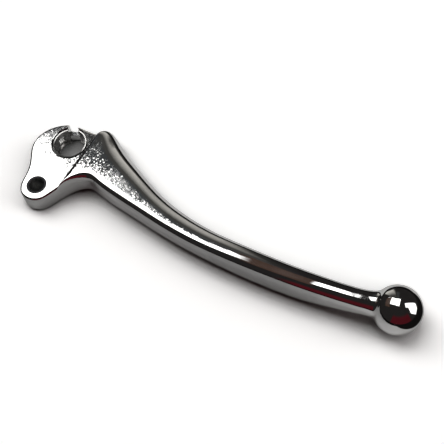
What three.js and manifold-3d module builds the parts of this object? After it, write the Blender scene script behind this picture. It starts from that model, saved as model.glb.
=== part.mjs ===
// Ball-ended clutch lever for a motorcycle or scooter: one cast and plated lever,
// the sleeve it swings on, and the split liner its cable nipple turns in.
// Millimetres, +Z up. The lever lies flat: +X runs from the pivot to the ball,
// the pivot axis and the liner axis are parallel to Z.
// Shapes are worked out from the pivot axis at the head's mid height, and the whole
// group is then moved so that the origin is on the head's flat underside.
import * as THREE from 'three';
import { mergeVertices } from 'three/addons/utils/BufferGeometryUtils.js';
import Module from 'manifold-3d';

// ---- driving dimensions -------------------------------------------------
const HEAD_T = 8.55;              // thickness of the flat head, fits between the bracket's ears
const HEAD_TOP = HEAD_T / 2;
const HEAD_EDGE = 1.0;            // rounding of the edges round the head's faces
const HEAD_EDGE_STEPS = 3;
const HEAD_RIM_DIVISIONS = 82;
const ORIGIN_FROM_PIVOT = 8.0;    // the origin lies this far from the pivot axis, towards +Y

const SLEEVE_R = 4.0;
const SLEEVE_BORE_R = 3.2;        // clears an M6 pivot bolt
const SLEEVE_CHAMFER = 0.15;
const SLEEVE_PROUD = 0.1;         // proud of each face, so the bolt clamps it and not the lever
const SLEEVE_CLEARANCE = 0.07;
const PIVOT_HOLE_R = SLEEVE_R + SLEEVE_CLEARANCE;
const PIVOT_CHAMFER = 0.15;
const PIVOT_SEGS = 48;

const LINER_R = 7.12;
const LINER_IN_R = 6.55;
const LINER_H = 8.1;
const LINER_LIP_R = 6.1;          // inward lip the nipple rests on
const LINER_LIP_T = 0.6;
const LINER_FOOT_CHAMFER = 0.2;   // outside, bottom
const LINER_TOP_CHAMFER = 0.15;   // outside, top
const LINER_IN_CHAMFER = 0.12;    // inside, top
const LINER_CLEARANCE = 0.08;

const POCKET = [3.52, 23.09];     // centre of the cable pocket from the pivot axis
const POCKET_R = LINER_R + LINER_CLEARANCE;
const POCKET_CHAMFER = 0.15;
const MOUTH_R = 7.75;             // wider mouth of the bore, a narrow moat round the liner
const MOUTH_DEPTH = 1.3;
const POCKET_SEGS = 72;

// Openings round the pocket. Angles are degrees from +X, seen from the pocket's centre.
const NOTCH_ANGLE = 106.5;        // notch in the head's rim, and the liner's gap
const NOTCH_W = 4.3;
const NOTCH_FLOOR = -1.0;         // height of the notch's floor from mid height
const WINDOW_ANGLES = [149, 194]; // cable window in the head's wall, facing -X
const WINDOW_H = 3.0;
const LINER_WINDOW_ANGLE = 158.8; // where the cable leaves the liner with the lever at rest
const LINER_WINDOW_W = 3.0;
const LINER_WINDOW_H = 2.8;

// How far the cutting tools reach
const RADIAL_CUT = [3.0, 12.0];   // radii a box cut spans from the pocket's centre
const WINDOW_CUT = [5.5, 20];     // radii the window's cut spans
const PIVOT_OVERCUT = 1;          // past both of the head's faces
const POCKET_OVERCUT_BELOW = 0.5;
const POCKET_OVERCUT_ABOVE = 0.02;
const NOTCH_OVERCUT = 4;
const LINER_CUT_Z = 20;           // each way from mid height

const SHOULDER_BREAK = 2.1;       // height of the rounding of the shoulder's top edge
const SHOULDER_RUN = 4.1;         // and its length along the blade's slanting spine
const SHOULDER_STEPS = 5;
const SHOULDER_GAP = 0.3;         // least distance from the rounding to the next station
const HALF_STATIONS = [10, 28];   // an extra section halfway between stations in this range

const BALL = [153.2, 0.1, -0.5];  // centre of the ball
const BALL_R = 9.5;
const BALL_FIRST_DEG = 138;       // angle from +X of the ball's first section, at the neck
const BALL_STEP_DEG = 10;

const MIN_FLAT = 2e-3;            // straight kept between a section's corner arcs
const MERGE_TOLERANCE = 1e-5;

// Head's rim seen from above, x, y, clockwise from the near (-Y) side of the shoulder round
// the pivot boss and the pocket. A smooth curve runs through these points.
const HEAD_RIM = [
  [10.75, 3.7], [10.0, 2.65], [9.4, 1.75], [8.6, 0.4], [7.45, -1.65], [6.1, -3.75],
  [4.95, -5.15], [3.75, -6.15], [2.4, -6.8], [0.9, -7.15], [-0.7, -7.12], [-2.3, -6.72],
  [-3.75, -5.95], [-5.0, -4.9], [-5.95, -3.6], [-6.55, -2.1], [-6.85, -0.6], [-6.98, 1.0],
  [-7.08, 3.0], [-7.25, 5.0], [-7.62, 6.9], [-8.25, 8.9], [-9.2, 11.1], [-10.2, 13.3],
  [-11.0, 15.4], [-11.42, 17.5], [-11.42, 19.6], [-11.02, 21.7], [-10.2, 23.8], [-9.0, 25.8],
  [-7.5, 27.5], [-5.75, 29.0], [-3.9, 30.2], [-2.0, 31.1], [0.0, 31.6], [2.0, 31.75],
  [4.0, 31.65], [6.0, 31.42], [8.2, 31.2], [10.3, 31.05], [12.2, 31.05], [13.9, 31.15],
];
// Corners that close the outline inside the blade's root, x, y
const HEAD_ROOT = [[14.9, 30.2], [14.6, 26.0], [13.9, 18.0], [13.0, 10.0], [11.9, 6.2]];

// Blade stations from the shoulder to the neck:
// near (-Y) wall x, y, far (+Y) wall x, y, top z, bottom z, near top edge radius, far top
// edge radius, bottom edge radius. Most of the blade's far top edge is rounded more.
const TOP_COLUMN = 4;
const BLADE = [
  [8.85, 0.85, 13.2, 31.45, 6.5, -4.275, 2.0, 2.0, 0.9],
  [11.05, 4.05, 14.34, 32.85, 6.5, -4.275, 2.2, 3.0, 1.0],
  [12.5, 5.6, 15.86, 34.2, 6.5, -4.275, 2.5, 4.4, 1.1],
  [13.9, 6.9, 17.32, 34.54, 6.5, -4.28, 2.8, 5.8, 1.2],
  [15.6, 8.15, 19.06, 34.06, 6.49, -4.28, 3.0, 7.0, 1.25],
  [17.4, 8.95, 20.86, 32.97, 6.48, -4.29, 3.0, 8.0, 1.3],
  [19.2, 9.3, 22.56, 31.77, 6.46, -4.29, 3.0, 8.6, 1.4],
  [21.2, 9.0, 24.42, 30.39, 6.45, -4.3, 3.0, 9.0, 1.4],
  [24.0, 7.97, 26.78, 28.61, 6.43, -4.3, 2.95, 9.0, 1.45],
  [27.0, 6.98, 29.35, 26.86, 6.41, -4.3, 2.9, 9.0, 1.5],
  [30.0, 6.05, 31.82, 25.32, 6.4, -4.3, 2.85, 8.9, 1.5],
  [36.0, 4.42, 37.18, 22.02, 6.33, -4.3, 2.8, 8.5, 1.6],
  [42.0, 2.89, 42.65, 18.71, 6.25, -4.3, 2.8, 8.2, 1.7],
  [48.0, 1.35, 48.33, 15.6, 6.18, -4.3, 2.8, 8.0, 1.8],
  [54.0, -0.21, 54.0, 12.93, 6.14, -4.3, 2.8, 7.8, 1.85],
  [60.0, -1.55, 60.0, 10.69, 6.12, -4.3, 2.8, 7.6, 2.0],
  [66.0, -2.78, 66.0, 8.82, 6.12, -4.4, 2.8, 7.2, 2.1],
  [72.0, -3.74, 72.0, 7.25, 6.14, -4.65, 2.8, 6.8, 2.25],
  [78.0, -4.46, 78.0, 6.03, 6.2, -5.1, 2.8, 6.4, 2.4],
  [84.0, -5.08, 84.0, 5.21, 6.3, -5.75, 2.9, 6.15, 2.6],
  [90.0, -5.58, 90.0, 4.52, 6.4, -6.5, 3.05, 5.9, 2.8],
  [96.0, -6.0, 96.0, 3.88, 6.5, -7.1, 3.2, 5.65, 3.0],
  [102.0, -6.34, 102.0, 3.29, 6.57, -7.6, 3.35, 5.4, 3.2],
  [108.0, -6.58, 108.0, 2.8, 6.58, -7.9, 3.5, 5.2, 3.35],
  [114.0, -6.72, 114.0, 2.45, 6.5, -7.95, 3.65, 5.0, 3.5],
  [120.0, -6.7, 120.0, 2.22, 6.34, -7.7, 3.8, 4.75, 3.7],
  [126.0, -6.54, 126.0, 2.12, 6.08, -7.15, 4.0, 4.5, 3.9],
  [132.0, -6.3, 132.0, 2.22, 5.75, -6.55, 4.1, 4.35, 4.1],
  [137.0, -6.0, 137.0, 2.54, 5.42, -6.05, 4.2, 4.3, 4.2],
  [140.5, -5.75, 140.5, 2.98, 5.2, -5.8, 4.35, 4.35, 4.35],
  [142.8, -5.55, 142.8, 3.6, 5.05, -5.75, 4.5, 4.5, 4.5],
  [144.3, -5.55, 144.3, 4.4, 5.05, -5.85, 4.95, 4.95, 4.95],
  [145.6, -5.8, 145.6, 5.6, 5.4, -6.25, 5.65, 5.65, 5.65],
];

// ---- materials ------------------------------------------------------------
const metal = (name, color, metalness, roughness) =>
  new THREE.MeshStandardMaterial({ name, color, metalness, roughness });
const MATERIALS = {   // name, colour, metalness, roughness
  lever: metal('chrome', 0xd9dadb, 1.0, 0.12),
  liner: metal('plated_steel', 0xc9cac9, 1.0, 0.22),
  sleeve: metal('oiled_steel', 0x3b3c3e, 0.9, 0.4),
};

// ---- solids and meshes ------------------------------------------------------
const wasm = await Module();
wasm.setup();

const radians = THREE.MathUtils.degToRad;
const quarterTurn = (step, steps) => Math.PI / 2 * step / steps;

function solid(geometry) {
  geometry.deleteAttribute('normal');
  geometry.deleteAttribute('uv');
  const merged = mergeVertices(geometry, MERGE_TOLERANCE);
  return new wasm.Manifold(new wasm.Mesh({
    numProp: 3,
    vertProperties: new Float32Array(merged.attributes.position.array),
    triVerts: new Uint32Array(merged.index.array),
  }));
}

function indexedGeometry(positions, indices) {
  const geometry = new THREE.BufferGeometry();
  geometry.setAttribute('position', new THREE.Float32BufferAttribute(positions, 3));
  geometry.setIndex(indices);
  return geometry;
}

function meshOf(name, manifold, material) {
  const { vertProperties, triVerts } = manifold.getMesh();
  const geometry = indexedGeometry(vertProperties, Array.from(triVerts)).toNonIndexed();
  geometry.computeVertexNormals();
  const mesh = new THREE.Mesh(geometry, material);
  mesh.name = name;
  return mesh;
}

// Triangles between successive rings of equal length, each anticlockwise seen from the
// last ring's end
function wallIndices(rings) {
  const count = rings[0].length;
  const indices = [];
  for (let i = 0; i + 1 < rings.length; i++) {
    for (let j = 0; j < count; j++) {
      const here = i * count + j;
      const next = i * count + (j + 1) % count;
      indices.push(here, next, next + count, here, next + count, here + count);
    }
  }
  return indices;
}

// A solid through the rings, each end closed by a fan round its middle
function loft(rings) {
  const count = rings[0].length;
  const middle = ring => [0, 1, 2].map(
    axis => ring.reduce((sum, point) => sum + point[axis] / count, 0));
  const positions = [...rings, middle(rings[0]), middle(rings.at(-1))].flat(2);
  const indices = wallIndices(rings);
  const firstMiddle = rings.length * count;
  const lastRing = firstMiddle - count;
  for (let j = 0; j < count; j++) {
    const next = (j + 1) % count;
    indices.push(firstMiddle, next, j);
    indices.push(firstMiddle + 1, lastRing + j, lastRing + next);
  }
  return solid(indexedGeometry(positions, indices));
}

// A turned solid from a profile of radius, z
function turned(profile, segments, [x, y]) {
  const points = profile.map(([radius, z]) => new THREE.Vector2(radius, z));
  const geometry = new THREE.LatheGeometry(points, segments);
  geometry.rotateX(Math.PI / 2);     // the lathe's axis becomes +Z
  geometry.translate(x, y, 0);
  return solid(geometry);
}

// A box reaching outwards from the pocket's centre
function radialBox(angle, width, bottom, top) {
  const [from, to] = RADIAL_CUT;
  const geometry = new THREE.BoxGeometry(to - from, width, top - bottom);
  geometry.translate((from + to) / 2, 0, (bottom + top) / 2);
  geometry.rotateZ(radians(angle));
  geometry.translate(...POCKET, 0);
  return solid(geometry);
}

// ---- head: a flat plate with rounded edges --------------------------------
// Moves an anticlockwise outline inwards
function inset(outline, distance) {
  const count = outline.length;
  return outline.map(([x, y], i) => {
    const before = outline[(i + count - 1) % count];
    const after = outline[(i + 1) % count];
    const along = [after[0] - before[0], after[1] - before[1]];
    const length = Math.hypot(...along);
    return [x - along[1] / length * distance, y + along[0] / length * distance];
  });
}

function makeHead() {
  const curve = new THREE.CatmullRomCurve3(
    HEAD_RIM.map(([x, y]) => new THREE.Vector3(x, y, 0)), false, 'centripetal');
  const rim = curve.getPoints(HEAD_RIM_DIVISIONS).map(({ x, y }) => [x, y]);
  const outline = [...rim, ...HEAD_ROOT].reverse();

  const lower = [];
  const upper = [];
  const ringAt = (distance, z) => inset(outline, distance).map(([x, y]) => [x, y, z]);
  for (let k = 0; k <= HEAD_EDGE_STEPS; k++) {
    const turn = quarterTurn(k, HEAD_EDGE_STEPS);
    const bySine = HEAD_EDGE * (1 - Math.sin(turn));
    const byCosine = HEAD_EDGE * (1 - Math.cos(turn));
    lower.push(ringAt(bySine, -HEAD_TOP + byCosine));
    upper.push(ringAt(byCosine, HEAD_TOP - bySine));
  }
  const rings = [...lower, ...upper];

  const indices = wallIndices(rings);
  const face = inset(outline, HEAD_EDGE).map(([x, y]) => new THREE.Vector2(x, y));
  const topRing = (rings.length - 1) * outline.length;
  for (const [a, b, c] of THREE.ShapeUtils.triangulateShape(face, [])) {
    indices.push(topRing + a, topRing + b, topRing + c);
    indices.push(c, b, a);
  }
  return solid(indexedGeometry(rings.flat(2), indices));
}

// ---- blade and ball: one loft of rounded sections -------------------------
// One ring from a station's row, its radii reduced where they don't fit
function section([nearX, nearY, farX, farY, top, bottom, nearR, farR, bottomR]) {
  const width = Math.hypot(farX - nearX, farY - nearY);
  const across = [(farX - nearX) / width, (farY - nearY) / width];
  const height = top - bottom - MIN_FLAT;
  const fit = Math.min(1, (width - MIN_FLAT) / (nearR + farR));
  const near = Math.min(nearR * fit, height / 2);
  const far = Math.min(farR * fit, height - bottomR);
  const low = Math.min(bottomR, (width - MIN_FLAT) / 2, height / 2);
  const ring = [];
  const arc = (centre, z, radius, fromDeg, steps) => {
    for (let k = 0; k <= steps; k++) {
      const angle = radians(fromDeg + 90 * k / steps);
      const offset = centre + radius * Math.cos(angle);
      ring.push([
        nearX + across[0] * offset,
        nearY + across[1] * offset,
        z + radius * Math.sin(angle),
      ]);
    }
  };
  arc(width - far, top - far, far, 0, 8);
  arc(near, top - near, near, 90, 6);
  arc(low, bottom + low, low, 180, 5);
  arc(width - low, bottom + low, low, 270, 5);
  return ring;
}

// Catmull-Rom blend from station i (t = 0) to station i + 1 (t = 1)
function blendStations(i, t) {
  const before = BLADE[Math.max(i - 1, 0)];
  const start = BLADE[i];
  const end = BLADE[i + 1];
  const after = BLADE[Math.min(i + 2, BLADE.length - 1)];
  return start.map((value, k) => 0.5 * (
    2 * value
    + (end[k] - before[k]) * t
    + (2 * before[k] - 5 * value + 4 * end[k] - after[k]) * t * t
    + (3 * value - before[k] - 3 * end[k] + after[k]) * t * t * t));
}

// Distance of each station from the shoulder, along the middle of the blade
function spineDistances() {
  const middles = BLADE.map(([nearX, nearY, farX, farY]) =>
    [(nearX + farX) / 2, (nearY + farY) / 2]);
  const spine = [0];
  for (let i = 1; i < middles.length; i++) {
    const [x, y] = middles[i];
    const [lastX, lastY] = middles[i - 1];
    spine.push(spine[i - 1] + Math.hypot(x - lastX, y - lastY));
  }
  return spine;
}

function makeBlade() {
  const spine = spineDistances();
  const stationAt = distance => {
    let i = 0;
    while (i + 2 < spine.length && spine[i + 1] <= distance) i++;
    return blendStations(i, (distance - spine[i]) / (spine[i + 1] - spine[i]));
  };
  const rings = [];

  // the shoulder's rounded top edge
  for (let k = 0; k <= SHOULDER_STEPS; k++) {
    const turn = quarterTurn(k, SHOULDER_STEPS);
    const row = stationAt(SHOULDER_RUN * (1 - Math.cos(turn)));
    row[TOP_COLUMN] -= SHOULDER_BREAK * (1 - Math.sin(turn));
    rings.push(section(row));
  }

  for (let i = 1; i < BLADE.length; i++) {
    if (spine[i] < SHOULDER_RUN + SHOULDER_GAP) continue;
    if (i > HALF_STATIONS[0] && i <= HALF_STATIONS[1]) {
      rings.push(section(blendStations(i - 1, 0.5)));
    }
    rings.push(section(BLADE[i]));
  }

  const [ballX, ballY, ballZ] = BALL;
  for (let deg = BALL_FIRST_DEG; deg > 0; deg -= BALL_STEP_DEG) {
    const x = ballX + BALL_R * Math.cos(radians(deg));
    const r = BALL_R * Math.sin(radians(deg));
    rings.push(section([x, ballY - r, x, ballY + r, ballZ + r, ballZ - r, r, r, r]));
  }
  return loft(rings);
}

// ---- lever: head and blade, less the openings --------------------------------
function pivotCut() {
  const wideR = PIVOT_HOLE_R + PIVOT_CHAMFER + PIVOT_OVERCUT;
  const end = HEAD_TOP + PIVOT_OVERCUT;
  const straight = HEAD_TOP - PIVOT_CHAMFER;
  return turned([
    [0, -end], [wideR, -end], [PIVOT_HOLE_R, -straight],
    [PIVOT_HOLE_R, straight], [wideR, end], [0, end],
  ], PIVOT_SEGS, [0, 0]);
}

function pocketCut() {
  const bottom = -HEAD_TOP - POCKET_OVERCUT_BELOW;
  const top = HEAD_TOP + POCKET_OVERCUT_ABOVE;
  const ledge = HEAD_TOP - MOUTH_DEPTH;
  return turned([
    [0, bottom],
    [POCKET_R + POCKET_CHAMFER + POCKET_OVERCUT_BELOW, bottom],
    [POCKET_R, -HEAD_TOP + POCKET_CHAMFER],
    [POCKET_R, ledge],
    [MOUTH_R, ledge],
    [MOUTH_R, HEAD_TOP - POCKET_CHAMFER],
    [MOUTH_R + POCKET_CHAMFER + POCKET_OVERCUT_ABOVE, top],
    [0, top],
  ], POCKET_SEGS, POCKET);
}

function windowCut() {
  const [from, to] = WINDOW_ANGLES;
  const [inner, outer] = WINDOW_CUT;
  const corners = [[from, inner], [from, outer], [to, outer], [to, inner]];
  const shape = new THREE.Shape(corners.map(([angle, radius]) => new THREE.Vector2(
    POCKET[0] + radius * Math.cos(radians(angle)),
    POCKET[1] + radius * Math.sin(radians(angle)))));
  const geometry = new THREE.ExtrudeGeometry(shape, { depth: WINDOW_H, bevelEnabled: false });
  geometry.translate(0, 0, -WINDOW_H / 2);
  return solid(geometry);
}

function makeLever() {
  return makeHead()
    .add(makeBlade())
    .subtract(pivotCut())
    .subtract(pocketCut())
    .subtract(radialBox(NOTCH_ANGLE, NOTCH_W, NOTCH_FLOOR, HEAD_TOP + NOTCH_OVERCUT))
    .subtract(windowCut());
}

// ---- liner: a split ring with a lip at its foot and a window -------------------
function makeLiner() {
  const top = LINER_H / 2;
  const lipTop = -top + LINER_LIP_T;
  const halfWindow = LINER_WINDOW_H / 2;
  return turned([
    [LINER_LIP_R, -top],
    [LINER_R - LINER_FOOT_CHAMFER, -top],
    [LINER_R, -top + LINER_FOOT_CHAMFER],
    [LINER_R, top - LINER_TOP_CHAMFER],
    [LINER_R - LINER_TOP_CHAMFER, top],
    [LINER_IN_R + LINER_IN_CHAMFER, top],
    [LINER_IN_R, top - LINER_IN_CHAMFER],
    [LINER_IN_R, lipTop],
    [LINER_LIP_R, lipTop],
    [LINER_LIP_R, -top],
  ], POCKET_SEGS, POCKET)
    .subtract(radialBox(NOTCH_ANGLE, NOTCH_W, -LINER_CUT_Z, LINER_CUT_Z))
    .subtract(radialBox(LINER_WINDOW_ANGLE, LINER_WINDOW_W, -halfWindow, halfWindow));
}

// ---- sleeve: a tube with all four edges chamfered ------------------------------
function makeSleeve() {
  const top = HEAD_TOP + SLEEVE_PROUD;
  const straight = top - SLEEVE_CHAMFER;
  const outer = SLEEVE_R - SLEEVE_CHAMFER;
  const inner = SLEEVE_BORE_R + SLEEVE_CHAMFER;
  return turned([
    [inner, -top], [outer, -top], [SLEEVE_R, -straight], [SLEEVE_R, straight], [outer, top],
    [inner, top], [SLEEVE_BORE_R, straight], [SLEEVE_BORE_R, -straight], [inner, -top],
  ], PIVOT_SEGS, [0, 0]);
}

// ---- scene graph ----------------------------------------------------------------
const group = new THREE.Group();
group.add(meshOf('lever_casting', makeLever(), MATERIALS.lever));
group.add(meshOf('cable_liner', makeLiner(), MATERIALS.liner));
group.add(meshOf('pivot_sleeve', makeSleeve(), MATERIALS.sleeve));
group.position.set(0, -ORIGIN_FROM_PIVOT, HEAD_TOP);

export default group;
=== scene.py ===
"""A bright-plated lever: a flat head with a pivot hole and a round pocket, and a long blade
that ends in a ball. A slotted liner sits in the pocket and a steel sleeve in the pivot hole.

The blade runs along +X from the head and the pivot axis is vertical. Y grows away from the
camera, so "near" is towards -Y and "far" towards +Y. The part's origin is level with the
head's flat underside. The lever rests on a slightly tilted table.
"""
import math

import bmesh
import bpy
import numpy as np
from mathutils import Matrix, Vector


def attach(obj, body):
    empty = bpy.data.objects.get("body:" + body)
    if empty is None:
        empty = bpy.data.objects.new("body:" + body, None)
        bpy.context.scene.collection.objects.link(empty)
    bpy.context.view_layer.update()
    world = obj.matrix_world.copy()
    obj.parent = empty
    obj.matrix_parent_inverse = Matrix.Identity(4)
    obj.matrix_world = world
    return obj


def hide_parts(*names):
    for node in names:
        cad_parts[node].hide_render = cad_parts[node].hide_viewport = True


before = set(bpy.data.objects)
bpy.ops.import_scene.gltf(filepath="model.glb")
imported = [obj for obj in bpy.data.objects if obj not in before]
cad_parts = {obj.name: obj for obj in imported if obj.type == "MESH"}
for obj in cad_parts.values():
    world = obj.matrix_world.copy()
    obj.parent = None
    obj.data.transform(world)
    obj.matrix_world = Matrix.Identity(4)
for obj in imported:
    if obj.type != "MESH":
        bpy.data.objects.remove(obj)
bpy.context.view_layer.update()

# ---- sizes --------------------------------------------------------------------------------
# Millimetres from the pivot axis at the head's mid height. SHIFT takes them to the part's frame.
HEAD_T = 8.55
HALF = HEAD_T / 2
SHIFT = np.array([0.0, -8.0, HALF])
HEAD_EDGE = 1.0                         # rounding of the head's rim

PIVOT = (0.0, 0.0)
PIVOT_HOLE_R, PIVOT_CHAMFER = 4.07, 0.15
SLEEVE_R, SLEEVE_BORE_R, SLEEVE_PROUD, SLEEVE_EDGE = 4.0, 3.2, 0.1, 0.15

POCKET = (3.52, 23.09)
POCKET_R, POCKET_CHAMFER = 7.2, 0.15
MOUTH_R, MOUTH_DEPTH = 7.75, 1.3        # the wider top of the pocket
LINER_R, LINER_IN_R, LINER_H = 7.12, 6.55, 8.1
LINER_LIP_R, LINER_LIP_T = 6.1, 0.6     # inward lip at the liner's bottom
LINER_LOW_EDGE, LINER_TOP_EDGE, LINER_IN_EDGE = 0.2, 0.15, 0.12

# openings in the pocket's wall; angles in degrees round the pocket from +X
NOTCH_ANGLE, NOTCH_W, NOTCH_FLOOR = 106.5, 4.3, -1.0
WINDOW_FROM, WINDOW_TO, WINDOW_H = 149.0, 194.0, 3.0
LINER_WINDOW_ANGLE, LINER_WINDOW_W, LINER_WINDOW_H = 158.8, 3.0, 2.8

SHOULDER_BREAK, SHOULDER_RUN = 2.1, 4.1  # drop and length of the blade's rounded start
BALL, BALL_R = (153.2, 0.1, -0.5), 9.5

RING_POINTS = 104
PIVOT_SEGMENTS, POCKET_SEGMENTS = 144, 216

# head outline, x and y: clockwise from the blade's near side, smoothed
HEAD_CURVE = [
    [10.75, 3.7], [10.0, 2.65], [9.4, 1.75], [8.6, 0.4], [7.45, -1.65], [6.1, -3.75],
    [4.95, -5.15], [3.75, -6.15], [2.4, -6.8], [0.9, -7.15], [-0.7, -7.12], [-2.3, -6.72],
    [-3.75, -5.95], [-5.0, -4.9], [-5.95, -3.6], [-6.55, -2.1], [-6.85, -0.6], [-6.98, 1.0],
    [-7.08, 3.0], [-7.25, 5.0], [-7.62, 6.9], [-8.25, 8.9], [-9.2, 11.1], [-10.2, 13.3],
    [-11.0, 15.4], [-11.42, 17.5], [-11.42, 19.6], [-11.02, 21.7], [-10.2, 23.8], [-9.0, 25.8],
    [-7.5, 27.5], [-5.75, 29.0], [-3.9, 30.2], [-2.0, 31.1], [0.0, 31.6], [2.0, 31.75],
    [4.0, 31.65], [6.0, 31.42], [8.2, 31.2], [10.3, 31.05], [12.2, 31.05], [13.9, 31.15],
]
# the rest of the outline, where the head meets the blade, not smoothed
HEAD_ROOT = [[14.9, 30.2], [14.6, 26.0], [13.9, 18.0], [13.0, 10.0], [11.9, 6.2]]

# blade stations: near wall x, y; far wall x, y; top z, bottom z;
# radii of the near top edge, the far top edge and both bottom edges
BLADE = [
    [8.85, 0.85, 13.2, 31.45, 6.5, -4.275, 2.0, 2.0, 0.9],
    [11.05, 4.05, 14.34, 32.85, 6.5, -4.275, 2.2, 3.0, 1.0],
    [12.5, 5.6, 15.86, 34.2, 6.5, -4.275, 2.5, 4.4, 1.1],
    [13.9, 6.9, 17.32, 34.54, 6.5, -4.28, 2.8, 5.8, 1.2],
    [15.6, 8.15, 19.06, 34.06, 6.49, -4.28, 3.0, 7.0, 1.25],
    [17.4, 8.95, 20.86, 32.97, 6.48, -4.29, 3.0, 8.0, 1.3],
    [19.2, 9.3, 22.56, 31.77, 6.46, -4.29, 3.0, 8.6, 1.4],
    [21.2, 9.0, 24.42, 30.39, 6.45, -4.3, 3.0, 9.0, 1.4],
    [24.0, 7.97, 26.78, 28.61, 6.43, -4.3, 2.95, 9.0, 1.45],
    [27.0, 6.98, 29.35, 26.86, 6.41, -4.3, 2.9, 9.0, 1.5],
    [30.0, 6.05, 31.82, 25.32, 6.4, -4.3, 2.85, 8.9, 1.5],
    [36.0, 4.42, 37.18, 22.02, 6.33, -4.3, 2.8, 8.5, 1.6],
    [42.0, 2.89, 42.65, 18.71, 6.25, -4.3, 2.8, 8.2, 1.7],
    [48.0, 1.35, 48.33, 15.6, 6.18, -4.3, 2.8, 8.0, 1.8],
    [54.0, -0.21, 54.0, 12.93, 6.14, -4.3, 2.8, 7.8, 1.85],
    [60.0, -1.55, 60.0, 10.69, 6.12, -4.3, 2.8, 7.6, 2.0],
    [66.0, -2.78, 66.0, 8.82, 6.12, -4.4, 2.8, 7.2, 2.1],
    [72.0, -3.74, 72.0, 7.25, 6.14, -4.65, 2.8, 6.8, 2.25],
    [78.0, -4.46, 78.0, 6.03, 6.2, -5.1, 2.8, 6.4, 2.4],
    [84.0, -5.08, 84.0, 5.21, 6.3, -5.75, 2.9, 6.15, 2.6],
    [90.0, -5.58, 90.0, 4.52, 6.4, -6.5, 3.05, 5.9, 2.8],
    [96.0, -6.0, 96.0, 3.88, 6.5, -7.1, 3.2, 5.65, 3.0],
    [102.0, -6.34, 102.0, 3.29, 6.57, -7.6, 3.35, 5.4, 3.2],
    [108.0, -6.58, 108.0, 2.8, 6.58, -7.9, 3.5, 5.2, 3.35],
    [114.0, -6.72, 114.0, 2.45, 6.5, -7.95, 3.65, 5.0, 3.5],
    [120.0, -6.7, 120.0, 2.22, 6.34, -7.7, 3.8, 4.75, 3.7],
    [126.0, -6.54, 126.0, 2.12, 6.08, -7.15, 4.0, 4.5, 3.9],
    [132.0, -6.3, 132.0, 2.22, 5.75, -6.55, 4.1, 4.35, 4.1],
    [137.0, -6.0, 137.0, 2.54, 5.42, -6.05, 4.2, 4.3, 4.2],
    [140.5, -5.75, 140.5, 2.98, 5.2, -5.8, 4.35, 4.35, 4.35],
    [142.8, -5.55, 142.8, 3.6, 5.05, -5.75, 4.5, 4.5, 4.5],
    [144.3, -5.55, 144.3, 4.4, 5.05, -5.85, 4.95, 4.95, 4.95],
    [145.6, -5.8, 145.6, 5.6, 5.4, -6.25, 5.65, 5.65, 5.65],
]
TOP_Z = 4                               # column of the top height


def to_part(points):
    """Millimetres from the pivot axis to metres in the part's frame."""
    return (np.asarray(points, float) + SHIFT) / 1000.0


# ---- curves and sections ------------------------------------------------------------------
def path_length(points):
    """Distance along a polyline at each of its points."""
    return np.concatenate([[0], np.cumsum(np.hypot(*np.diff(points, axis=0).T))])


def smooth(stations, values, at, stiffness):
    """Smoothing spline: close to the stations, with a slowly changing curvature.
    stiffness(s) is in mm^6 per station spacing; small follows the stations exactly."""
    count = int((stations[-1] - stations[0]) / 0.25) + 1
    grid = np.linspace(stations[0], stations[-1], count)
    pitch = grid[1] - grid[0]
    low = np.minimum(((stations - stations[0]) / pitch).astype(int), count - 2)
    part = (stations - grid[low]) / pitch
    sample = np.zeros((len(stations), count))
    sample[np.arange(len(stations)), low] = 1 - part
    sample[np.arange(len(stations)), low + 1] += part
    third = np.zeros((count - 3, count))        # third differences along the grid
    for i in range(count - 3):
        third[i, i : i + 4] = [-1, 3, -3, 1]
    weight = np.sqrt(np.array([stiffness(s) for s in grid[1:-2]]) * pitch) / pitch**3
    third *= weight[:, None]
    fitted = np.linalg.solve(sample.T @ sample + third.T @ third, sample.T @ values)
    return np.stack([np.interp(at, grid, column) for column in fitted.T], 1)


def arc_shape(fade, steps=48):
    """A quarter turn from (1, 0) to (0, 1), whose curvature fades in and out at its ends as
    fade goes from 0 (a circle) to 1. Returns its points, the angle turned at each, and how
    far it cuts the corner."""
    def turned_by(t):
        eased = t - np.sin(2 * math.pi * t) / (2 * math.pi)
        return math.pi / 2 * ((1 - fade) * t + fade * eased)

    heading = turned_by((np.arange(steps) + 0.5) / steps)
    step = np.stack([-np.sin(heading), np.cos(heading)], 1)
    points = np.vstack([[0, 0], np.cumsum(step, 0)])
    points = points / points[-1, 1]
    points[:, 0] += 1
    middle = points[steps // 2]
    corner_cut = (2 - (middle[0] + middle[1])) / math.sqrt(2)
    return points, turned_by(np.linspace(0, 1, steps + 1)), corner_cut


CIRCLE_CUT = arc_shape(0.0)[2]
FADE_MAX = 0.2


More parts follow.
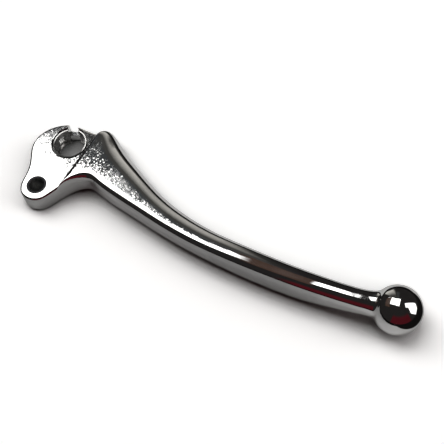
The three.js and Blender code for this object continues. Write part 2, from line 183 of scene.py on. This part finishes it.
def section(row):
    """A ring of points: a rounded rectangle standing on the line from the near wall to the
    far wall. Points are spread by turning angle and by length, so rings match up."""
    near_x, near_y, far_x, far_y, top, bottom, near_r, far_r, low_r = row
    width = math.hypot(far_x - near_x, far_y - near_y)
    along_x, along_y = (far_x - near_x) / width, (far_y - near_y) / width
    height = top - bottom
    fit = min(1.0, width / (near_r + far_r))
    near_r, far_r = near_r * fit, far_r * fit
    if far_r < width * 0.499 or far_r > width * 0.501:      # not a full half round
        far_r = min(far_r, height - low_r)
    roundness = (near_r + far_r) / width
    fade = FADE_MAX * (1 - roundness) ** 0.5 if roundness < 0.999 else 0.0
    shape, turn, corner_cut = arc_shape(fade)

    # a faded corner is made larger, to cut as deep as the circular one
    grow = CIRCLE_CUT / corner_cut
    near_r, far_r, low_r = near_r * grow, far_r * grow, low_r * grow
    fit = min(1.0, width / (near_r + far_r), width / (2 * low_r),
              height / (near_r + low_r), height / (far_r + low_r))
    near_r, far_r, low_r = near_r * fit, far_r * fit, low_r * fit

    corners = (
        (width - far_r, top - far_r, far_r),
        (near_r, top - near_r, near_r),
        (low_r, bottom + low_r, low_r),
        (width - low_r, bottom + low_r, low_r),
    )
    parts, angles = [], []
    for quarter, (centre_x, centre_z, radius) in enumerate(corners):
        cos, sin = (1, 0, -1, 0)[quarter], (0, 1, 0, -1)[quarter]
        x, y = shape[:, 0] * radius, shape[:, 1] * radius
        parts.append(np.stack([centre_x + cos * x - sin * y, centre_z + sin * x + cos * y], 1))
        angles.append(turn + quarter * math.pi / 2)
    points = np.vstack(parts + [parts[0][:1]])
    angle = np.concatenate(angles + [[2 * math.pi]])
    length = path_length(points)
    spread = 0.62 * angle / (2 * math.pi) + 0.38 * length / length[-1]
    at = np.arange(RING_POINTS) / RING_POINTS
    x, z = np.interp(at, spread, points[:, 0]), np.interp(at, spread, points[:, 1])
    return np.stack([near_x + along_x * x, near_y + along_y * x, z], 1)


# ---- meshes -------------------------------------------------------------------------------
def new_object(name, points, faces):
    """A mesh object from points in metres."""
    mesh = bpy.data.meshes.new(name)
    mesh.from_pydata([tuple(point) for point in points], [], faces)
    made = bpy.data.objects.new(name, mesh)
    bpy.context.scene.collection.objects.link(made)
    return made


def solid(name, points, faces):
    """A closed object from points in millimetres, with its normals outward."""
    made = new_object(name, to_part(points), faces)
    made.data.validate()
    bm = bmesh.new()
    bm.from_mesh(made.data)
    bmesh.ops.recalc_face_normals(bm, faces=bm.faces)
    bm.to_mesh(made.data)
    bm.free()
    return made


def side_faces(rings, count):
    """Quads between successive rings of count points."""
    faces = []
    for i in range(rings - 1):
        for j in range(count):
            a, b = i * count + j, i * count + (j + 1) % count
            faces.append((a, b, b + count, a + count))
    return faces


def end_faces(rings, count):
    """A flat face on the first ring and one on the last."""
    return [tuple(range(count))[::-1], tuple(range((rings - 1) * count, rings * count))]


def loft(name, rings):
    """A solid through rings, closed at each end by a fan round the ring's middle."""
    count = len(rings[0])
    points = np.vstack(rings + [rings[0].mean(0)[None], rings[-1].mean(0)[None]])
    faces = side_faces(len(rings), count)
    first, last, start = len(points) - 2, len(points) - 1, (len(rings) - 1) * count
    for j in range(count):
        k = (j + 1) % count
        faces.append((first, k, j))
        faces.append((last, start + j, start + k))
    return solid(name, points, faces)


def turned(name, profile, segments, centre):
    """A lathe solid round a vertical axis. The (radius, z) profile either starts and ends on
    the axis or is a loop clear of it."""
    points, faces, rows = [], [], []
    for radius, z in profile:
        count = 1 if radius < 1e-9 else segments
        rows.append(range(len(points), len(points) + count))
        for j in range(count):
            t = 2 * math.pi * j / segments
            points.append((centre[0] + radius * math.cos(t), centre[1] + radius * math.sin(t), z))
    if profile[0][0] > 0:
        rows.append(rows[0])
    for low, high in zip(rows, rows[1:]):
        for j in range(segments):
            k = (j + 1) % segments
            if len(low) == 1:
                faces.append((low[0], high[k], high[j]))
            elif len(high) == 1:
                faces.append((low[j], low[k], high[0]))
            else:
                faces.append((low[j], low[k], high[k], high[j]))
    return solid(name, points, faces)


def prism(name, corners, bottom, top):
    points = [(x, y, z) for z in (bottom, top) for x, y in corners]
    count = len(corners)
    return solid(name, points, end_faces(2, count) + side_faces(2, count))


def around_pocket(angle, radius):
    t = math.radians(angle)
    return POCKET[0] + radius * math.cos(t), POCKET[1] + radius * math.sin(t)


def radial_box(name, angle, width, bottom, top, inner=3.0, outer=12.0):
    """A box that points outward from the pocket's axis."""
    cos, sin = math.cos(math.radians(angle)), math.sin(math.radians(angle))
    half = width / 2
    corners = [(inner, -half), (outer, -half), (outer, half), (inner, half)]
    corners = [(POCKET[0] + cos * x - sin * y, POCKET[1] + sin * x + cos * y) for x, y in corners]
    return prism(name, corners, bottom, top)


def rounded_corner(r, z, radius, start, steps=5):
    """Profile points for a quarter round about (r, z), from the start angle in degrees."""
    angles = [math.radians(start + 90 * i / steps) for i in range(steps + 1)]
    return [(r + radius * math.cos(a), z + radius * math.sin(a)) for a in angles]


# the Manifold solver where this Blender has it
SOLVERS = bpy.types.BooleanModifier.bl_rna.properties["solver"].enum_items.keys()
SOLVER = "MANIFOLD" if "MANIFOLD" in SOLVERS else "EXACT"


def combine(target, tools, operation="DIFFERENCE"):
    """Applies a boolean with each tool to the target, then removes the tools."""
    for tool in tools:
        modifier = target.modifiers.new("cut", "BOOLEAN")
        modifier.operation = operation
        modifier.object = tool
        modifier.solver = SOLVER
    bpy.context.view_layer.update()
    depsgraph = bpy.context.evaluated_depsgraph_get()
    mesh = bpy.data.meshes.new_from_object(target.evaluated_get(depsgraph))
    target.modifiers.clear()
    old = target.data
    target.data = mesh
    bpy.data.meshes.remove(old)
    for tool in tools:
        bpy.data.objects.remove(tool)


SHARP_ANGLE = math.radians(32)


def finish_surface(piece, flats):
    """Smooth shading, with sharp edges where faces turn by more than SHARP_ANGLE and round
    the flat faces at the heights in flats (mm, part's frame), to keep their reflections flat."""
    bm = bmesh.new()
    bm.from_mesh(piece.data)
    bmesh.ops.remove_doubles(bm, verts=bm.verts, dist=2e-7)
    bmesh.ops.dissolve_degenerate(bm, edges=bm.edges, dist=1e-7)
    bm.normal_update()
    levels = [z / 1000.0 for z in flats]

    def is_flat(face):
        height = face.calc_center_median().z
        return abs(face.normal.z) > 0.99999 and any(abs(height - z) < 5e-6 for z in levels)

    flat = {face.index for face in bm.faces if is_flat(face)}
    for face in bm.faces:
        face.smooth = True
    for edge in bm.edges:
        if len(edge.link_faces) != 2:
            edge.smooth = False
            continue
        a, b = edge.link_faces
        turn = a.normal.angle(b.normal, 0.0)
        flat_rim = (a.index in flat) != (b.index in flat) and turn > 1e-4
        edge.smooth = not (turn > SHARP_ANGLE or flat_rim)
    bm.to_mesh(piece.data)
    bm.free()
    piece.data.update()


# ---- the lever ----------------------------------------------------------------------------
def ball_row(degrees):
    """A blade station on the ball, at an angle from the ball's +X end."""
    t = math.radians(degrees)
    x, y, z = BALL[0] + BALL_R * math.cos(t), BALL[1], BALL[2]
    r = BALL_R * math.sin(t)
    return [x, y - r, x, y + r, z + r, z - r, r, r, r]


def blade_rings():
    table = np.array(BLADE + [ball_row(degrees) for degrees in (138, 131, 124, 117, 110)])
    stations = path_length((table[:, 0:2] + table[:, 2:4]) / 2)
    end = stations[-1]

    # how stiff the surface is along the blade: loose at the shoulder and at the ball
    knots = [(0, 0.05), (4, 0.1), (14, 1.5), (30, 20), (60, 150),
             (end - 26, 150), (end - 15, 1.0), (end - 10, 0.02), (end, 0.0005)]
    knot_at = [at for at, _ in knots]
    knot_log = [math.log(value) for _, value in knots]
    shoulder = np.arange(0, SHOULDER_RUN, 0.05)
    steps = np.concatenate([
        shoulder, np.arange(SHOULDER_RUN, 22, 0.4), np.arange(22, end - 16, 0.8),
        np.arange(end - 16, end, 0.22), [end]])
    rows = smooth(stations, table, steps, lambda s: math.exp(np.interp(s, knot_at, knot_log)))

    rings = []
    for k in range(12):                 # the shoulder's rounded top edge
        a = math.radians(90 * k / 12)
        at = SHOULDER_RUN * (1 - math.cos(a))
        row = np.array([np.interp(at, steps, column) for column in rows.T])
        row[TOP_Z] -= SHOULDER_BREAK * (1 - math.sin(a))
        rings.append(section(row))
    rings += [section(row) for row in rows[len(shoulder):]]
    rings += [section(ball_row(degrees)) for degrees in np.arange(107.0, 0.5, -2.5)]
    return rings


def head_plate():
    curve = np.array(HEAD_CURVE, float)
    length = path_length(curve)
    fine = smooth(length, curve, np.arange(0, length[-1], 0.35), lambda s: 0.4)
    outline = np.vstack([fine, curve[-1:], np.array(HEAD_ROOT, float)])[::-1]
    count = len(outline)
    along = np.roll(outline, -1, 0) - np.roll(outline, 1, 0)
    along /= np.hypot(along[:, 0], along[:, 1])[:, None]
    inward = np.stack([-along[:, 1], along[:, 0]], 1)

    # inset and height of each ring: the lower edge's rounding, then the upper edge's
    arc = [math.radians(90 * k / 4) for k in range(5)]
    rings = [(HEAD_EDGE * (1 - math.sin(a)), -HALF + HEAD_EDGE * (1 - math.cos(a))) for a in arc]
    rings += [(HEAD_EDGE * (1 - math.cos(a)), HALF - HEAD_EDGE * (1 - math.sin(a))) for a in arc]
    points = np.vstack([
        np.hstack([outline + inward * inset, np.full((count, 1), z)]) for inset, z in rings])
    faces = side_faces(len(rings), count) + end_faces(len(rings), count)
    return solid("head_plate", points, faces)


def pivot_tool(over=1.0):
    """The pivot hole, chamfered at both ends; over is how far it stands out of the head."""
    wide, end = PIVOT_HOLE_R + PIVOT_CHAMFER + over, HALF + over
    edge = HALF - PIVOT_CHAMFER
    profile = [(0, -end), (wide, -end), (PIVOT_HOLE_R, -edge),
               (PIVOT_HOLE_R, edge), (wide, end), (0, end)]
    return turned("pivot_tool", profile, PIVOT_SEGMENTS, PIVOT)


def pocket_tool(under=0.5, over=0.02):
    """The stepped pocket; under and over are how far it stands out below and above."""
    chamfer, step = POCKET_CHAMFER, HALF - MOUTH_DEPTH
    profile = [
        (0, -HALF - under), (POCKET_R + chamfer + under, -HALF - under),
        (POCKET_R, -HALF + chamfer), (POCKET_R, step), (MOUTH_R, step),
        (MOUTH_R, HALF - chamfer), (MOUTH_R + chamfer + over, HALF + over), (0, HALF + over)]
    return turned("pocket_tool", profile, POCKET_SEGMENTS, POCKET)


def window_tool(inner=5.5, outer=20, steps=12):
    """A low sector that opens the pocket's wall at mid height."""
    angles = [WINDOW_FROM + (WINDOW_TO - WINDOW_FROM) * i / steps for i in range(steps + 1)]
    corners = [around_pocket(angle, inner) for angle in reversed(angles)]
    corners += [around_pocket(angle, outer) for angle in angles]
    return prism("window_tool", corners, -WINDOW_H / 2, WINDOW_H / 2)


def build_lever():
    lever = loft("lever_casting_surface", blade_rings())
    combine(lever, [head_plate()], "UNION")
    combine(lever, [
        pivot_tool(),
        pocket_tool(),
        radial_box("notch_tool", NOTCH_ANGLE, NOTCH_W, bottom=NOTCH_FLOOR, top=HALF + 4),
        window_tool(),
    ])
    finish_surface(lever, flats=(0.0, HEAD_T, HALF + NOTCH_FLOOR))
    return lever


def build_liner():
    half = LINER_H / 2
    low, top, inside = LINER_LOW_EDGE, LINER_TOP_EDGE, LINER_IN_EDGE
    lip_top = -half + LINER_LIP_T
    profile = [
        (LINER_LIP_R, -half),
        *rounded_corner(LINER_R - low, -half + low, low, -90),
        *rounded_corner(LINER_R - top, half - top, top, 0),
        *rounded_corner(LINER_IN_R + inside, half - inside, inside, 90),
        (LINER_IN_R, lip_top), (LINER_LIP_R, lip_top),
    ]
    liner = turned("cable_liner_surface", profile, POCKET_SEGMENTS, POCKET)
    window_half = LINER_WINDOW_H / 2
    combine(liner, [
        radial_box("gap_tool", NOTCH_ANGLE, NOTCH_W, bottom=-20, top=20),
        radial_box("liner_window_tool", LINER_WINDOW_ANGLE, LINER_WINDOW_W,
                   bottom=-window_half, top=window_half),
    ])
    finish_surface(liner, flats=(HALF - half, HALF + half))
    return liner


def build_sleeve():
    half, edge = HALF + SLEEVE_PROUD, SLEEVE_EDGE
    outer, inner, level = SLEEVE_R - edge, SLEEVE_BORE_R + edge, half - edge
    profile = [
        (inner, -half),
        *rounded_corner(outer, -level, edge, -90),
        *rounded_corner(outer, level, edge, 0),
        *rounded_corner(inner, level, edge, 90),
        *rounded_corner(inner, -level, edge, 180)[:-1],
    ]
    sleeve = turned("pivot_sleeve_surface", profile, PIVOT_SEGMENTS, PIVOT)
    finish_surface(sleeve, flats=(HALF - half, HALF + half))
    return sleeve


lever, liner, sleeve = build_lever(), build_liner(), build_sleeve()


# ---- materials; lengths are metres from here on -------------------------------------------
class Nodes:
    """Short calls for building a node tree. Any input may be a plain value or a socket."""

    def __init__(self, owner):
        owner.use_nodes = True
        self.tree = owner.node_tree
        self.tree.nodes.clear()

    def node(self, kind, inputs={}, **settings):
        node = self.tree.nodes.new("ShaderNode" + kind)
        for name, value in settings.items():
            setattr(node, name, value)
        for key, value in inputs.items():
            if isinstance(value, bpy.types.NodeSocket):
                self.tree.links.new(value, node.inputs[key])
            else:
                node.inputs[key].default_value = value
        return node

    def where(self, space="Object"):
        return self.node("TexCoord").outputs[space]

    def split(self, vector):
        return self.node("SeparateXYZ", {0: vector}).outputs

    def math(self, operation, a, b=0.0):
        return self.node("Math", {0: a, 1: b}, operation=operation).outputs[0]

    def plus(self, a, b):
        return self.math("ADD", a, b)

    def times(self, product, *factors):
        for factor in factors:
            product = self.math("MULTIPLY", product, factor)
        return product

    def vector(self, operation, inputs):
        return self.node("VectorMath", inputs, operation=operation).outputs

    def ramp(self, value, between, gives=(0.0, 1.0)):
        """A smooth step from gives[0] to gives[1] as value crosses the range between."""
        inputs = dict(enumerate((value, *between, *gives)))
        return self.node("MapRange", inputs, interpolation_type="SMOOTHSTEP", clamp=True).outputs[0]

    def noise(self, vector, scale, detail, roughness):
        inputs = {"Vector": vector, "Scale": scale, "Detail": detail, "Roughness": roughness}
        return self.node("TexNoise", inputs).outputs[0]

    def mix(self, factor, a, b):
        """Blends colour a into colour b; 6 and 7 are the node's colour inputs."""
        return self.node("Mix", {0: factor, 6: a, 7: b}, data_type="RGBA").outputs[2]

    def occlusion(self, distance, samples):
        return self.node("AmbientOcclusion", {"Distance": distance}, samples=samples).outputs["AO"]

    def bump(self, height, distance, **normal):
        inputs = {"Strength": 1.0, "Distance": distance, **normal, "Height": height}
        return self.node("Bump", inputs).outputs[0]

    def worn_edge(self, geometry):
        return self.ramp(geometry.outputs["Pointiness"], between=(0.52, 0.60))

    def output(self, shader, kind="OutputMaterial"):
        self.node(kind, {"Surface": shader.outputs[0]})

    def metal(self, colour, roughness, normal):
        self.output(self.node("BsdfPrincipled", {
            "Base Color": colour, "Metallic": 1.0, "Roughness": roughness, "Normal": normal}))

    def emission(self, colour, strength):
        return self.node("Emission", {"Color": colour, "Strength": strength})


def new_material(name):
    material = bpy.data.materials.new(name)
    return material, Nodes(material)


FALL = (1.0, 0.0)                       # a ramp that goes down

# orange peel: heights of its fine, middle and long waves, and its share towards the ball
PEEL_FINE, PEEL_MID, PEEL_WAVE, PEEL_FAR = 2e-6, 1.5e-6, 5e-6, 0.12
GRAIN_LEAN = 0.0684                     # how strongly each grain leans the normal
ROUGH_RANGE = (0.035, 0.075)


def chrome():
    """Bright plating over a cast, hand-polished lever: mirror-bright, with a fine orange peel
    that is stronger on the head and the root of the blade than towards the ball."""
    material, t = new_material("bright_plating")
    where = t.where()
    x = t.split(where)[0]
    geometry = t.node("NewGeometry")
    cast = t.ramp(x, between=(0.050, 0.112), gives=(1.0, PEEL_FAR))
    fine = t.noise(where, scale=2000.0, detail=1.0, roughness=0.5)
    mid = t.noise(where, scale=420.0, detail=2.0, roughness=0.5)
    wave = t.noise(where, scale=95.0, detail=1.0, roughness=0.4)
    height = t.times(t.plus(t.times(fine, PEEL_FINE), t.times(mid, PEEL_MID)), cast)
    height = t.plus(height, t.times(wave, PEEL_WAVE))

    # each grain of the casting under the plating leans its own way
    grain = t.node("TexVoronoi", {"Vector": where, "Scale": 2500.0}).outputs["Color"]
    lean = t.vector("SUBTRACT", {0: grain, 1: (0.5, 0.5, 0.5)})[0]
    amount = t.vector("DOT_PRODUCT", {0: lean, 1: lean})["Value"]
    lean = t.vector("SCALE", {0: lean, "Scale": t.times(cast, amount, GRAIN_LEAN)})[0]
    leaned = t.vector("ADD", {0: geometry.outputs["Normal"], 1: lean})[0]
    normal = t.bump(height, distance=1.0, Normal=t.vector("NORMALIZE", {0: leaned})[0])

    edge = t.worn_edge(geometry)
    smear = t.noise(where, scale=60.0, detail=4.0, roughness=0.6)
    rough = t.plus(t.ramp(smear, between=(0.35, 0.7), gives=ROUGH_RANGE), t.times(edge, 0.05))
    patches = t.noise(where, scale=180.0, detail=3.0, roughness=0.6)
    tint = t.mix(t.ramp(patches, between=(0.3, 0.7)), (0.66, 0.66, 0.655, 1), (0.73, 0.73, 0.725, 1))
    tint = t.mix(edge, tint, (0.80, 0.80, 0.79, 1))
    # painted shade: the plating turns near black and rougher in the narrow gaps
    gap_shade = t.ramp(t.occlusion(distance=0.0016, samples=8), between=(0.30, 0.62), gives=FALL)
    tint = t.mix(gap_shade, tint, (0.030, 0.029, 0.027, 1))
    t.metal(tint, t.plus(rough, t.times(gap_shade, 0.35)), normal)
    return material


def bare_steel(name, light, dark, rough, ends, shaded_below=None):
    """Steel with fine machining lines round it and darker patches where oil sits. rough is
    the range from dark to light patches; ends is the colour of faces that look up or down,
    painted to stand for how those faces are lit: bright on the liner, dark on the sleeve."""
    material, t = new_material(name)
    where = t.where()
    geometry = t.node("NewGeometry")
    squeeze = t.node("Mapping", {"Vector": where, "Scale": (120.0, 120.0, 2600.0)})
    lines = t.noise(squeeze.outputs[0], scale=1.0, detail=3.0, roughness=0.6)
    patches = t.noise(where, scale=420.0, detail=4.0, roughness=0.65)
    normal = t.bump(lines, distance=6e-6)
    edge = t.worn_edge(geometry)
    colour = t.mix(t.ramp(patches, between=(0.35, 0.65)), dark, light)
    colour = t.mix(t.times(edge, 0.6), colour, (0.72, 0.71, 0.69, 1))
    upward = t.split(geometry.outputs["Normal"])[2]
    if shaded_below is not None:          # painted shade: the end faces are darker on the near side of the rim
        y = t.plus(t.split(where)[1], t.times(patches, 0.003))
        lit_side = t.ramp(y, between=(shaded_below, shaded_below + 0.003))
        ends = t.mix(lit_side, (0.05, 0.05, 0.048, 1), ends)
    # painted light and shade: faces that look up or down take the ends colour
    colour = t.mix(t.ramp(t.math("ABSOLUTE", upward), between=(0.4, 0.8)), colour, ends)
    roughness = t.plus(t.ramp(patches, between=(0.3, 0.7), gives=rough), t.times(lines, 0.06))
    t.metal(colour, roughness, normal)
    return material


def liner_plating():
    # the near-white ends are a painted highlight on the liner's top and bottom faces, darkened to
    # painted shade on the near side of the rim; the dark walls are partly painted shade of the deep
    # pocket
    return bare_steel(
        "liner_plating", light=(0.26, 0.255, 0.25, 1), dark=(0.12, 0.12, 0.115, 1),
        rough=(0.30, 0.16), ends=(0.86, 0.85, 0.83, 1), shaded_below=0.0138)


def sleeve_steel():
    # the near-black ends are painted shade: the sleeve's end faces stand for a dark gap at the rim
    # of the pivot hole
    return bare_steel(
        "oiled_sleeve_steel_shaded_ends", light=(0.34, 0.34, 0.33, 1), dark=(0.16, 0.16, 0.16, 1),
        rough=(0.45, 0.28), ends=(0.022, 0.022, 0.024, 1))


for piece, make_material, node, body, slot in (
    (lever, chrome, "lever_casting", "lever", "plated_alloy"),
    (liner, liner_plating, "cable_liner", "liner", "plated_steel"),
    (sleeve, sleeve_steel, "pivot_sleeve", "sleeve", "oiled_steel"),
):
    piece.data.materials.clear()
    piece.data.materials.append(make_material())
    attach(piece, body)
    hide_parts(node)

# ---- table --------------------------------------------------------------------------------
# The lever lies on the edge of its head and on its ball, so the table is tilted by about two
# degrees in the lever's own frame.
TILT = 0.0349
TOUCH = -11.42 / 1000                   # x of the head's edge
TABLE_HALF = 2.2

# the paper on the table ends at these lines; it is dark further out, which only the lever's
# reflections show
PAPER_RIGHT, PAPER_LEFT, PAPER_FAR, PAPER_NEAR = 0.170, -0.042, 0.046, -0.080
EXPOSE, CONTACT = 2.0, 0.14             # brightness to the camera, and its share in contact


def table_material():
    material, t = new_material("pale_table")
    where = t.where()
    x, y, _ = t.split(where)
    inside = t.times(
        t.ramp(x, between=(PAPER_RIGHT, PAPER_RIGHT + 0.003), gives=FALL),
        t.ramp(x, between=(PAPER_LEFT - 0.004, PAPER_LEFT)),
        t.ramp(y, between=(PAPER_FAR, PAPER_FAR + 0.004), gives=FALL),
        t.ramp(y, between=(PAPER_NEAR - 0.004, PAPER_NEAR)))
    ray = t.node("LightPath").outputs
    direct = t.math("MAXIMUM", ray["Is Camera Ray"], ray["Is Diffuse Ray"])
    shown = t.math("MAXIMUM", inside, direct)
    grain = t.noise(where, scale=300.0, detail=3.0, roughness=0.6)
    paper = t.mix(grain, (0.80, 0.80, 0.80, 1), (0.83, 0.83, 0.828, 1))
    colour = t.mix(shown, (0.012, 0.011, 0.011, 1), paper)

    def only_for(rays, gain):
        """The gain for these rays, 1 for all others."""
        return t.plus(t.times(rays, t.math("SUBTRACT", gain, 1.0)), 1.0)

    # seen directly the paper is exposed to white, with a deeper contact shadow
    open_sky = t.occlusion(distance=0.035, samples=12)
    contact = t.ramp(open_sky, between=(0.25, 0.95), gives=(CONTACT, 1.0))
    gain = only_for(ray["Is Camera Ray"], t.times(contact, EXPOSE))
    # the near side of the paper is in the lever's own shade when the lever mirrors it
    shade = t.math("MAXIMUM", t.ramp(y, between=(-0.025, 0.030), gives=(0.50, 1.0)),
                   t.ramp(x, between=(0.10, 0.16), gives=(0.50, 0.92)))
    gain = t.times(gain, only_for(ray["Is Glossy Ray"], shade))
    colour = t.vector("SCALE", {0: colour, "Scale": gain})[0]
    t.output(t.node("BsdfDiffuse", {"Color": colour}))
    return material


def build_table():
    size = TABLE_HALF
    corners = [(-size, -size), (size, -size), (size, size), (-size, size)]
    points = [(x, y, -TILT * (x - TOUCH)) for x, y in corners]
    table = new_object("table", points, [(0, 1, 2, 3)])
    table.data.materials.append(table_material())


build_table()


# ---- light: two large white panels, a wall and a flag -------------------------------------
def light_panel(name, points, faces, material, reflected_only=False):
    panel = new_object(name, points, faces)
    panel.data.materials.append(material)
    panel.visible_camera = False
    if reflected_only:
        panel.visible_diffuse = panel.visible_shadow = False


PANEL_CENTRE, PANEL_DISTANCE = Vector(to_part(BALL)), 3.0


def white_panel(name, directions, strength):
    """A faceted panel whose corners lie in the given directions from the ball."""
    points = [PANEL_CENTRE + Vector(way).normalized() * PANEL_DISTANCE for way in directions]
    faces = [(0, i, i + 1) for i in range(1, len(points) - 1)]
    material, t = new_material(name + "_glow")
    t.output(t.emission((1.0, 0.995, 0.985, 1), strength))
    light_panel(name, points, faces, material)


# the far edge of the panel behind, as the flat top of the head and of the blade's root mirror it
FAR_EDGE = [
    (-0.72, 0.355, 0.55), (-0.5003, 0.404, 0.7615), (-0.4925, 0.3973, 0.7702),
    (-0.4678, 0.3923, 0.788), (-0.4557, 0.3944, 0.7914), (-0.4272, 0.3935, 0.8077),
    (-0.4166, 0.3941, 0.8128), (-0.3958, 0.3906, 0.8249), (-0.3798, 0.3859, 0.8347),
    (-0.3615, 0.3816, 0.8448), (-0.3343, 0.3786, 0.8573), (-0.3222, 0.38, 0.8613),
    (-0.005, 0.450, 0.893),
]
RIGHT_PANEL = [
    (0.37, 0.25, 0.89), (0.75, 0.60, 0.22), (0.89, 0.44, 0.10), (1.0, 0.07, 0.02),
    (0.90, -0.12, 0.42), (0.69, 0.11, 0.72), (0.53, 0.01, 0.85),
]


def wall(left=-0.16, right=0.065, y=0.19, bottom=-0.02, top=0.34):
    """A pale wall behind the table on the left, brightest near the table and fading upwards."""
    points = [(left, y, bottom), (right, y, bottom), (right, y, top), (left, y, top)]
    material, t = new_material("wall_glow")
    x, _, z = t.split(t.where())
    # the lower edge of the glow rises by 10 mm in the middle
    lift = t.times(t.ramp(x, between=(-0.060, 0.0)), t.ramp(x, between=(0.020, 0.050), gives=FALL))
    low = t.math("SUBTRACT", z, t.times(lift, 0.010))
    upright = t.times(t.ramp(low, between=(0.014, 0.038)),
                      t.ramp(z, between=(0.01, 0.25), gives=(1.0, 0.05)))
    across = t.times(t.ramp(x, between=(right - 0.045, right - 0.008), gives=FALL),
                     t.ramp(x, between=(left, left + 0.05)))
    strength = t.plus(t.times(upright, across, 0.66), 0.03)
    t.output(t.emission((1.0, 0.965, 0.90, 1), strength))
    light_panel("wall", points, [(0, 1, 2, 3)], material, reflected_only=True)


def flag(left=0.070, right=0.1225, near=-0.030, far=0.016, z=0.054):
    """A brown screen above the blade, seen only in its reflection; its ends fade out."""
    points = [(left, near, z), (right, near, z), (right, far, z), (left, far, z)]
    material, t = new_material("flag_brown")
    x = t.split(t.where())[0]
    cover = t.times(t.ramp(x, between=(0.071, 0.085)),
                    t.ramp(x, between=(0.1165, 0.121), gives=FALL))
    brown = t.emission((0.075, 0.045, 0.034, 1), 1.0)
    clear = t.node("BsdfTransparent")
    t.output(t.node("MixShader", {0: cover, 1: clear.outputs[0], 2: brown.outputs[0]}))
    light_panel("flag", points, [(0, 1, 2, 3)], material, reflected_only=True)


white_panel("panel_behind", [(-0.85, -0.06, 0.53), *FAR_EDGE, (0.06, -0.11, 0.99)], strength=3.4)
white_panel("panel_right", RIGHT_PANEL, strength=2.2)
wall()
flag()


def room():
    """A dark room that looks pale to the camera. Azimuth is in degrees from +Y towards +X."""
    world = bpy.data.worlds.new("room")
    bpy.context.scene.world = world
    t = Nodes(world)
    x, y, z = t.split(t.where("Generated"))
    azimuth = t.times(t.math("ARCTAN2", x, y), 180 / math.pi)
    elevation = t.times(t.math("ARCSINE", z), 180 / math.pi)
    # a dark red patch at the near right
    red = t.times(t.ramp(azimuth, between=(106.0, 116.0)), 1.0)
    red = t.math("MAXIMUM", red, t.ramp(azimuth, between=(-172.0, -166.0), gives=FALL))
    red = t.times(red, t.ramp(elevation, between=(26.0, 44.0), gives=FALL))
    base = t.mix(red, (0.020, 0.0185, 0.018, 1), (0.078, 0.008, 0.012, 1))
    # the dim upper part of the room at the far left
    dim = t.times(t.ramp(azimuth, between=(-60.0, -52.0)),
                  t.ramp(azimuth, between=(-22.0, -8.0), gives=FALL),
                  t.ramp(elevation, between=(20.0, 34.0)))
    base = t.mix(dim, base, (0.056, 0.060, 0.063, 1))
    to_camera = t.node("LightPath").outputs["Is Camera Ray"]
    colour = t.mix(to_camera, base, (0.93, 0.93, 0.93, 1))
    t.output(t.node("Background", {"Color": colour, "Strength": 1.0}), "OutputWorld")


room()

# ---- camera -------------------------------------------------------------------------------
CAMERA_RIGHT = (0.91684365, 0.38777435, -0.09501986)
CAMERA_UP = (-0.29721734, 0.82183526, 0.48605416)
CAMERA_BACK = (0.26657001, -0.41739412, 0.86874771)
CAMERA_PLACE = (0.17446948, -0.14808357, 0.32064651)


def build_camera():
    lens = bpy.data.cameras.new("camera")
    lens.sensor_width = 36.0
    lens.lens = 74.485
    lens.clip_start, lens.clip_end = 0.01, 20.0
    camera = bpy.data.objects.new("camera", lens)
    scene = bpy.context.scene
    scene.collection.objects.link(camera)
    columns = zip(CAMERA_RIGHT, CAMERA_UP, CAMERA_BACK, CAMERA_PLACE)
    camera.matrix_world = Matrix((*columns, (0, 0, 0, 1)))
    scene.camera = camera
    scene.view_settings.view_transform = "Standard"
    scene.view_settings.look = "None"


build_camera()

bpy.context.view_layer.update()
